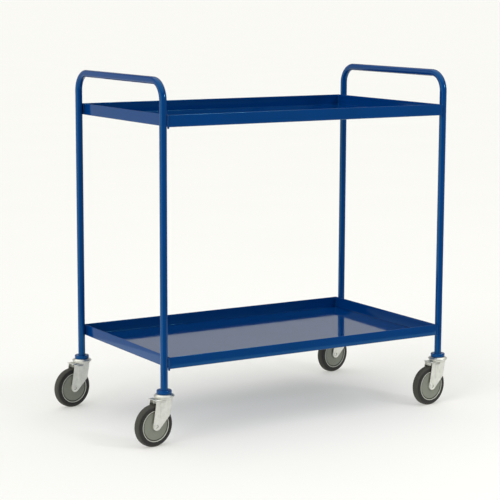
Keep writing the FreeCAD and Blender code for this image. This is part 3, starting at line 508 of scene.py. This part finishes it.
def ring_bead(x, y, level):
    """A small circle carried round the leg, its radius rippled by 12% with |sin|, one hump for each puddle."""
    turn = np.linspace(0, 2 * np.pi, 216, endpoint=False)
    puddles = round(2 * np.pi * tube_radius / RING_PUDDLE)
    thick = RING * (1 + 0.12 * np.abs(np.sin(turn * puddles / 2)))[:, None]
    section = circle(1, 14)
    out = tube_radius + RING_OUT + thick * section[:, 0]
    up = level + RING_UP + thick * section[:, 1]
    points = np.stack([x + out * np.cos(turn)[:, None], y + out * np.sin(turn)[:, None], up], -1)
    return surface(points, True, True)


boss_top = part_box("foot_boss_front_left")[1].z
rings = [ring_bead(*legs[corner], boss_top) for corner in CORNERS]
piece("leg_foot_welds", rings, "frame", blue_enamel, ["foot_ring_welds"])

# %% [markdown]
# ## The castors
# A castor has a fixed top disc, a fork that turns under it on a row of balls, and a wheel that trails behind the
# leg. Its pieces are easiest to draw in the castor's own directions: back along the trail, sideways along the axle,
# and up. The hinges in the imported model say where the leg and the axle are, and the line between them is the trail.

# %% The castor's own directions
AXLE_HEIGHT = joints["roll_front_left"]["pos_m"][2]


def castor_place(corner):
    """The trail, side and up directions as rows, and the point on the floor under the leg."""
    leg = np.array([*legs[corner], 0.0])
    trail = np.array([*joints[f"roll_{corner}"]["pos_m"][:2], 0.0]) - leg
    back = unit(trail)
    return np.array([back, np.cross(UP, back), UP]), leg, np.linalg.norm(trail)


def placed(made, corner):
    """A surface moved from the castor's directions into the trolley's."""
    directions, leg, _ = castor_place(corner)
    return made[0] @ directions + leg, made[1]


TRAIL = castor_place("front_left")[2]
print(f"The wheels trail by {TRAIL / mm:.1f} mm, with their axles {AXLE_HEIGHT / mm:.1f} mm up")

# %% [markdown]
# ### Fork
# The fork is one pressing: a top plate, two cheeks bent down from it, a rib pressed outwards in each cheek, and a
# round crown that covers the balls. The plate and cheeks are one surface. One parameter runs over the U from foot to
# foot, and the other runs from the front edge to the back edge, whose places come from the cheek's side view. A
# Solidify modifier gives the sheet its thickness, inwards from that surface. An open sheet has no inside, so its
# normals may come out either way, and the plate's own normal tells whether to flip them first.

# %% Fork surfaces
CHEEK_OUT = 17.55 * mm
PLATE_TOP = 141.5 * mm
FORK_SHEET = 2.3 * mm
FORK_BEND = 4.5 * mm
PLATE_TAIL = 7.5 * mm
RIB = 1.5 * mm
RIB_FOOT, RIB_HEAD, RIB_BACK = 84.5 * mm, 134.5 * mm, 28 * mm
RIB_SLANT = [RIB_FOOT, 133 * mm], [19 * mm, 5 * mm]
RIB_SOFT = 2.5 * mm
# The cheek's side view in mm: back from the leg's axis, up from the floor, and the corner's radius.
CHEEK = [(-17.7, 141.5, 0), (-8, 89.5, 8), (59.2, 23.5, 14), (38.3, 141.5, 0)]


def ramp(value, start, end):
    """0 before the start, 1 after the end, and a smooth S between them."""
    part = np.clip((value - start) / (end - start), 0, 1)
    return part * part * (3 - 2 * part)


def fork_sheet():
    """The U of the fork: for each point of the U, a row from the cheek's front edge to its back edge.

    The side view is a four-cornered outline whose lowest corner is rounded by 14 mm about the axle. Each height
    cuts it in a front and a back, and the row's points are spread evenly between them. The heights are close
    together at the foot, as 1 - cos^0.9 of an even angle, because the outline is roundest there. The back edge
    swings out by PLATE_TAIL at the plate. The rib moves points outwards by its height times four S-shaped ramps,
    one for each of its edges, and its front edge slants from 19 mm back at its foot to 5 mm at its head.
    """
    side_view = eased(CHEEK, 24, closed=False) * mm
    lowest = side_view[:, 1].argmin()
    foot = side_view[lowest, 1]
    cheek = foot + (PLATE_TOP - FORK_BEND - foot) * (1 - np.cos(np.linspace(0, np.pi / 2, 80)) ** 0.9)
    bend = eased([(0, foot, 0), (0, PLATE_TOP, FORK_BEND), (2 * CHEEK_OUT, PLATE_TOP, FORK_BEND),
                  (2 * CHEEK_OUT, foot, 0)], 9, closed=False)[1:-1]
    left = np.column_stack([np.zeros(80), cheek])
    right = np.column_stack([np.full(80, 2 * CHEEK_OUT), cheek[::-1]])
    middle = bend[:9], np.column_stack([np.linspace(FORK_BEND, 2 * CHEEK_OUT - FORK_BEND, 12)[1:-1],
                                        np.full(10, PLATE_TOP)]), bend[9:]
    line = np.vstack([left[:-1], *middle, right[1:]])
    across, up = line[:, :1] - CHEEK_OUT, line[:, 1:]
    front = np.interp(up, side_view[lowest::-1, 1], side_view[lowest::-1, 0])
    rear = np.interp(up, side_view[lowest:, 1], side_view[lowest:, 0])
    rear = rear + PLATE_TAIL * ramp(up, PLATE_TOP - 4 * mm, PLATE_TOP - 0.5 * mm)
    along = front + (rear - front) * np.linspace(0, 1, 65)
    rib_front = np.interp(up, *RIB_SLANT)
    rib = (ramp(along, rib_front, rib_front + RIB_SOFT) * ramp(-along, -RIB_BACK, -RIB_BACK + RIB_SOFT)
           * ramp(up, RIB_FOOT, RIB_FOOT + RIB_SOFT) * ramp(-up, -RIB_HEAD, -RIB_HEAD + RIB_SOFT))
    flat_side = np.abs(np.abs(across) - CHEEK_OUT) < 1e-6
    across = across + np.sign(across) * RIB * rib * flat_side
    return surface(np.stack(np.broadcast_arrays(along, across, up), -1))


# The crown's section in mm: out from the leg's axis, up from the floor, and the corner's radius. Its overhanging lip
# leaves the dark line under the crown.
CROWN = [(9.05, 143, 0), (9.05, 145.5, 0), (29, 145.5, 0.8), (29, 142.9, 0.5), (26.4, 142.6, 0.3), (26.4, 140, 0.3),
         (14, 140, 0.3), (14, 143, 0)]


def crown():
    """The round crown over the plate: its section turned about the leg's axis."""
    return turned(eased(CROWN) * mm, np.zeros(3), UP, closed=True)


for corner in CORNERS:
    pressing = piece(f"fork_pressing_{corner}", [placed(fork_sheet(), corner)], f"castor_{corner}", zinc,
                     [f"fork_{corner}"])
    if pressing.data.polygons[len(pressing.data.polygons) // 2].normal.z < 0:
        pressing.data.flip_normals()
    wall = pressing.modifiers.new("sheet", "SOLIDIFY")
    wall.thickness, wall.offset, wall.use_even_offset = FORK_SHEET, -1, True
    piece(f"fork_crown_{corner}", [placed(crown(), corner)], f"castor_{corner}", zinc, [])

# %% [markdown]
# ### Top disc and axle
# The disc is the fixed upper race, a shallow coned lid with its edge turned down. The axle is a tube whose ends are
# flared over the cheeks, so each of its heads is a ring round a dark bore. Both are turned outlines. How far each
# point lies from the axle's line tells the finish where the bore's painted shade goes.

# %% Top disc and axle
def from_axle(part, corner):
    """How far each point of a part is from the axle's line: the length of what is left without the part along it."""
    spots = np.empty(len(part.data.vertices) * 3)
    part.data.vertices.foreach_get("co", spots)
    spots = spots.reshape(-1, 3) - joints[f"roll_{corner}"]["pos_m"]
    axle = castor_place(corner)[0][1]
    return np.linalg.norm(spots - np.outer(spots @ axle, axle), axis=1)


def mark(part, name, values):
    """One number for each point, kept on the mesh for its finish to read."""
    part.data.attributes.new(name, "FLOAT", "POINT").data.foreach_set("value", values)


def both_sides(corners):
    """An outline's corners for one side of the wheel, then the same corners mirrored, in order."""
    corners = np.array(corners, float)
    return np.vstack([corners, corners[::-1] * (1, -1, 1)])


# Sections in mm: out from the axis, along it, and the corner's radius.
LID = [(6.1, 149.5, 0), (6.1, 152, 0), (24.5, 152, 3), (30.5, 147.4, 0.8), (30.5, 146, 0.4), (28.6, 146, 0.4),
       (28, 148.6, 0.6), (27, 149.5, 0.6)]
HEAD = CHEEK_OUT / mm + 1.4
PIN = both_sides([(6, HEAD - 1.5, 0.2), (8, HEAD - 1.5, 0.2), (8, HEAD, 1.1), (5.2, HEAD, 0.7), (4, HEAD - 1.2, 0.8)])
AXLE_CENTRE = np.array([TRAIL, 0, AXLE_HEIGHT])
AXLE_LINE = (0, 1, 0)
BORE_EDGE = (4.4 * mm, 5.2 * mm)

for corner in CORNERS:
    lid = turned(eased(LID) * mm, np.zeros(3), UP, closed=True)
    piece(f"race_lid_{corner}", [placed(lid, corner)], "frame", zinc, [f"top_disc_{corner}"])
    tube = turned(eased(PIN) * mm, AXLE_CENTRE, AXLE_LINE, closed=True)
    pin = piece(f"axle_pin_{corner}", [placed(tube, corner)], f"castor_{corner}", zinc, [f"axle_{corner}"])
    # Painted shade: points within 4.4 mm of the axle's line, the bore, are marked 1 and painted nearly black, fading
    # out by 5.2 mm.
    mark(pin, "painted_bore_shade", 1 - ramp(from_axle(pin, corner), *BORE_EDGE))

# %% [markdown]
# ### Wheel
# Hub and tyre are both turned outlines about the axle. The hub has a thin ridge beside the tyre, a groove inside the
# ridge, an almost flat web and a thick middle. The tyre is moulded on, with round shoulders and a plain tread, and its
# inner edge lies on the hub's rim point for point.

# %% Hub and tyre
HUB = both_sides([(45.5, 11.7, 0.1), (46.6, 11.7, 0.2), (46.6, 13.4, 0.6), (44.3, 13.4, 0.6), (43.8, 9.2, 0.4),
                  (41.9, 9.2, 0.4), (41.1, 11.6, 0.6), (14.2, 10.6, 1.5), (12.5, 14, 1.0), (7.5, 14, 0.2)])
TYRE = both_sides([(62.5, 13.5, 9.5), (49.3, 13.5, 0.8), (48.6, 13.0, 0.4), (46.65, 12.6, 0.2), (46.6, 11.7, 0.1),
                   (45.5, 11.7, 0.1)])
GROOVE_EDGE, RIDGE_EDGE, TREAD_EDGE = (41.0 * mm, 41.9 * mm), (43.7 * mm, 44.4 * mm), (56 * mm, 61 * mm)


def wheel_part(name, outline, corner, coat, replaced):
    """A closed outline turned about the axle."""
    ring = turned(outline * mm, AXLE_CENTRE, AXLE_LINE, steps=128, closed=True)
    return piece(name, [placed(ring, corner)], f"wheel_{corner}", coat, [replaced])


for corner in CORNERS:
    hub = wheel_part(f"wheel_centre_{corner}", eased(HUB), corner, nylon, f"hub_{corner}")
    away = from_axle(hub, corner)
    # The relief values mark where the painted shade in the groove and the painted highlight on the ridge go.
    mark(hub, "relief", 0.5 - 0.5 * ramp(away, *GROOVE_EDGE) + ramp(away, *RIDGE_EDGE))
    tyre = wheel_part(f"tyre_ring_{corner}", eased(TYRE, 12), corner, rubber, f"tyre_{corner}")
    mark(tyre, "tread", ramp(from_axle(tyre, corner), *TREAD_EDGE))

# %% [markdown]
# ### Inside the castor
# The kingpin, its bolt, the balls and the wheel's bush show only through gaps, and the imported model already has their
# right shapes. They keep their meshes and get the turned-steel finish.

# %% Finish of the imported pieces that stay
for node, made in frame["nodes"].items():
    if node.startswith(("kingpin", "castor_bolt", "swivel_balls", "bush")):
        made.data.materials.clear()
        made.data.materials.append(steel)
        print(f"{node} keeps its shape, in {steel.name}")

# %% [markdown]
# ## The studio
# The trolley stands on a plain white floor that runs on until it looks like a horizon. The floor gives off a little
# light of its own, as a lit acrylic sheet does, which keeps the shadows under the trays soft and grey. Glossy blue
# paint shows whatever it mirrors, and a white floor out to the horizon would turn the trays white. So only a sheet
# under the trolley is seen in reflections, and past it the enamel mirrors the room instead.

# %% Floor
FLOOR_REACH = 400
NEAR_REACH = (1.4, 1.0)
table, tree, shader, place = finish("lit_white_acrylic_floor", Roughness=0.9, Emission_Strength=0.34)
mottle = add(tree, "TexNoise", {"Vector": place, "Scale": 1 / 0.8, "Detail": 2.0})
tone = add(tree, "Mix", {0: mottle.outputs["Fac"], 6: linear("c3c3c6"), 7: linear("c6c6c9")}, data_type="RGBA")
tree.links.new(tone.outputs[2], shader.inputs["Base Color"])
shader.inputs["Emission Color"].default_value = linear("fffff4")


def floor(name, across, along):
    """A flat grid through every pair of one number across and one along."""
    x, y = np.meshgrid(across, along, indexing="ij")
    points, faces = surface(np.stack([x, y, np.zeros_like(x)], -1))
    mesh = bpy.data.meshes.new(name)
    mesh.from_pydata(points, [], faces)
    mesh.materials.append(table)
    made = bpy.data.objects.new(name, mesh)
    bpy.context.scene.collection.objects.link(made)
    return made


near = [np.linspace(-reach, reach, 9) for reach in NEAR_REACH]
floor("near_floor", *near)
for name, sign in (("floor_right", 1), ("floor_left", -1)):
    floor(name, sign * np.geomspace(NEAR_REACH[0], FLOOR_REACH, 24)[::sign],
          np.linspace(-FLOOR_REACH, FLOOR_REACH, 49)).visible_glossy = False
for name, sign in (("floor_back", 1), ("floor_front", -1)):
    floor(name, near[0], sign * np.geomspace(NEAR_REACH[1], FLOOR_REACH, 24)[::sign]).visible_glossy = False
print(f"Floor out to {FLOOR_REACH} m, in reflections out to {NEAR_REACH} m")

# %% [markdown]
# ### Lamps
# The key light is broad and low on the left. It is a sun lamp with a disc 40 degrees wide, which gives the same soft
# light all over the floor, and it is left out of reflections, because a disc that large would lie in the trays like a
# white puddle. The softbox is small, high on the right in front, and is there for small highlights on the tubes.

# %% Lamps
KEY_TRAVELS = (5.0, 1.6, -1.9)
SOFTBOX_AT = (2.2, -4.3, 2.9)
SOFTBOX_FACES = (0, 0, 0.6)


def aimed(name, light, direction):
    """A lamp whose light travels in a direction."""
    made = bpy.data.objects.new(name, light)
    bpy.context.scene.collection.objects.link(made)
    made.rotation_euler = Vector(direction).to_track_quat("-Z", "Y").to_euler()
    return made


sun = bpy.data.lights.new("key_light", "SUN")
sun.energy, sun.angle = 1.3, math.radians(40)
key = aimed("key_light", sun, KEY_TRAVELS)
key.visible_glossy = False

lamp = bpy.data.lights.new("small_softbox", "AREA")
lamp.shape, lamp.size, lamp.energy = "SQUARE", 0.9, 60
softbox = aimed("small_softbox", lamp, Vector(SOFTBOX_FACES) - Vector(SOFTBOX_AT))
softbox.location = SOFTBOX_AT
print(f"Lamps: {key.name} of {sun.energy} W/m2, {softbox.name} of {lamp.energy} W")

# %% [markdown]
# ### Room
# The room is all in the world's node tree, as brightness against direction: walls that are dim in front and lighter
# behind, lightest on the left, a bright ceiling, and a pale floor low down. That is what the enamel and the zinc
# mirror. The eye itself sees one flat tone there, matched to the floor, so that no horizon line shows.

# %% Room
SEEN_DIRECTLY = 0.98
TO_THE_BACK = (-0.22, 0.975, 0)
ALL_WALLS, BACK_WALLS, LEFT_WALL, CEILING, LOW_DOWN = 0.3, 0.27, 0.75, 1.2, 0.85

room = bpy.data.worlds.new("studio_room")
bpy.context.scene.world = room
room.use_nodes = True
tree = room.node_tree
facing = add(tree, "TexCoord").outputs["Generated"]
turned_to = add(tree, "SeparateXYZ", {0: facing})
up = turned_to.outputs["Z"]


def ramped(value, start, end, low, high):
    """A smooth change from low to high while the value goes from start to end."""
    limits = {"From Min": start, "From Max": end, "To Min": low, "To Max": high}
    return add(tree, "MapRange", {"Value": value, **limits}, interpolation_type="SMOOTHSTEP").outputs["Result"]


def combined(first, second, operation):
    """Two values added or multiplied."""
    return add(tree, "Math", {0: first, 1: second}, operation=operation).outputs[0]


to_the_back = add(tree, "VectorMath", {0: facing, 1: TO_THE_BACK}, operation="DOT_PRODUCT").outputs["Value"]
wall = combined(ramped(turned_to.outputs["X"], -0.50, -0.85, 0.0, LEFT_WALL), BACK_WALLS, "ADD")
wall = combined(wall, ramped(to_the_back, -0.40, -0.20, 0.0, 1.0), "MULTIPLY")
wall = combined(wall, ALL_WALLS, "ADD")
wall = combined(wall, ramped(up, 0.3, 0.5, 1.0, 0.3), "MULTIPLY")
wall = combined(wall, ramped(up, -0.55, -0.3, 0.0, 1.0), "MULTIPLY")
ceiling = ramped(up, 0.45, 0.8, 0.0, CEILING)
ground = ramped(up, -0.3, -0.55, 0.0, LOW_DOWN)
mirrored = combined(combined(wall, ceiling, "ADD"), ground, "ADD")
seen = add(tree, "LightPath").outputs["Is Camera Ray"]
level = add(tree, "Mix", {0: seen, 2: mirrored, 3: SEEN_DIRECTLY}).outputs[0]
tree.links.new(level, tree.nodes["Background"].inputs["Strength"])
tree.nodes["Background"].inputs["Color"].default_value = linear("fffef8")
print("World:", room.name)

# %% [markdown]
# ### Camera
# The trolley is seen from the front and a little to the left, from above handle height and about five metres away,
# through a long lens, so its uprights stay nearly parallel. The 0.21 degree roll is the small tilt of a hand-levelled
# camera. The Standard view keeps the enamel's colour as it was picked.

# %% Camera
LENS_IN_FRAMES = 1679.7 / 500
lens = bpy.data.cameras.new("view")
camera = bpy.data.objects.new("view", lens)
bpy.context.scene.collection.objects.link(camera)
bpy.context.scene.camera = camera
camera.location = (-2.7671, -4.4904, 1.3172)
camera.rotation_euler = (math.radians(90 - 8.81), math.radians(-0.21), math.radians(-31.23))
lens.sensor_width = 36
lens.lens = lens.sensor_width * LENS_IN_FRAMES
lens.clip_end = 1000
bpy.context.scene.view_settings.view_transform = "Standard"
print(f"Camera: {lens.lens:.1f} mm lens at {tuple(camera.location)}")
